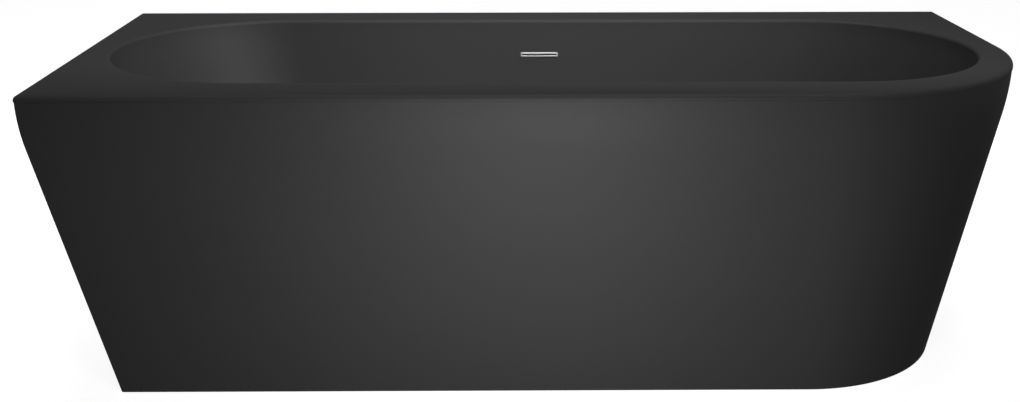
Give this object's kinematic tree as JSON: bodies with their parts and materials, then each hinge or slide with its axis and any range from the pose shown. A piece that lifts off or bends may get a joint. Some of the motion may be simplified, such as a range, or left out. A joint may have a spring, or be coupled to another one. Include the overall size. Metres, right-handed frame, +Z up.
{
  "type": "bathtub",
  "caption": "Long back-to-wall corner bath with an oval basin, a leaning skirt with one large rounded corner, levelling feet, pop-up waste, slot overflow and trap.",
  "frame": {"origin": "on the floor, under the middle of the rim's bounding box", "axes": "+X along the bath towards its rounded end, +Y towards the wall behind it, +Z up"},
  "size_m": [1.8, 0.8, 0.6],
  "materials": {
    "acrylic": "satin",
    "chrome": "polished",
    "zinc_steel": "satin",
    "rubber": "matte",
    "black_plastic": "satin",
    "white_plastic": "satin",
    "chipboard": "matte",
    "softwood": "matte",
    "brass": "satin"
  },
  "bodies": {
    "tub": {"basin_shell": "acrylic", "outer_skirt": "acrylic", "rear_rim_batten": "softwood", "base_board": "chipboard", "frame_rail_front": "zinc_steel", "frame_rail_rear_left": "zinc_steel", "frame_rail_rear_right": "zinc_steel", "frame_cross_left": "zinc_steel", "frame_cross_waste_left": "zinc_steel", "frame_cross_waste_right": "zinc_steel", "frame_cross_right": "zinc_steel", "foot_1_rail_nut": "zinc_steel", "foot_1_lock_nut": "zinc_steel", "foot_2_rail_nut": "zinc_steel", "foot_2_lock_nut": "zinc_steel", "foot_3_rail_nut": "zinc_steel", "foot_3_lock_nut": "zinc_steel", "foot_4_rail_nut": "zinc_steel", "foot_4_lock_nut": "zinc_steel", "foot_5_rail_nut": "zinc_steel", "foot_5_lock_nut": "zinc_steel", "skirt_stay_front_left": "zinc_steel", "skirt_stay_front_right": "zinc_steel", "skirt_stay_left_end": "zinc_steel", "skirt_stay_right_end": "zinc_steel", "waste_flange": "chrome", "waste_seal_upper": "rubber", "waste_seal_lower": "rubber", "waste_body": "black_plastic", "waste_cartridge": "brass", "trap_washer": "rubber", "trap_union_nut": "white_plastic", "overflow_bezel": "chrome", "overflow_gasket": "rubber", "overflow_box": "black_plastic", "overflow_hose": "black_plastic", "hose_clamp_upper": "zinc_steel", "hose_clamp_lower": "zinc_steel"},
    "plug": {"waste_plug_cap": "chrome", "waste_plug_stem": "brass"},
    "trap": {"trap_body": "white_plastic", "trap_dip_tube": "white_plastic", "trap_outlet_nut": "white_plastic", "outlet_pipe": "white_plastic"},
    "foot_1": {"foot_1_pad": "rubber", "foot_1_stem": "zinc_steel"},
    "foot_2": {"foot_2_pad": "rubber", "foot_2_stem": "zinc_steel"},
    "foot_3": {"foot_3_pad": "rubber", "foot_3_stem": "zinc_steel"},
    "foot_4": {"foot_4_pad": "rubber", "foot_4_stem": "zinc_steel"},
    "foot_5": {"foot_5_pad": "rubber", "foot_5_stem": "zinc_steel"}
  },
  "joints": [
    {"name": "waste_plug_lift", "type": "slide", "parent": "tub", "child": "plug", "axis": [0, 0, 1], "range_m": [0, 0.01]},
    {"name": "trap_swivel", "type": "hinge", "parent": "tub", "child": "trap", "pos_m": [0, 0.07, 0.08], "axis": [0, 0, 1], "range_deg": [-30, 30]},
    {"name": "foot_1_level", "type": "slide", "parent": "tub", "child": "foot_1", "axis": [0, 0, -1], "range_m": [0, 0.025]},
    {"name": "foot_2_level", "type": "slide", "parent": "tub", "child": "foot_2", "axis": [0, 0, -1], "range_m": [0, 0.025]},
    {"name": "foot_3_level", "type": "slide", "parent": "tub", "child": "foot_3", "axis": [0, 0, -1], "range_m": [0, 0.025]},
    {"name": "foot_4_level", "type": "slide", "parent": "tub", "child": "foot_4", "axis": [0, 0, -1], "range_m": [0, 0.025]},
    {"name": "foot_5_level", "type": "slide", "parent": "tub", "child": "foot_5", "axis": [0, 0, -1], "range_m": [0, 0.025]}
  ]
}
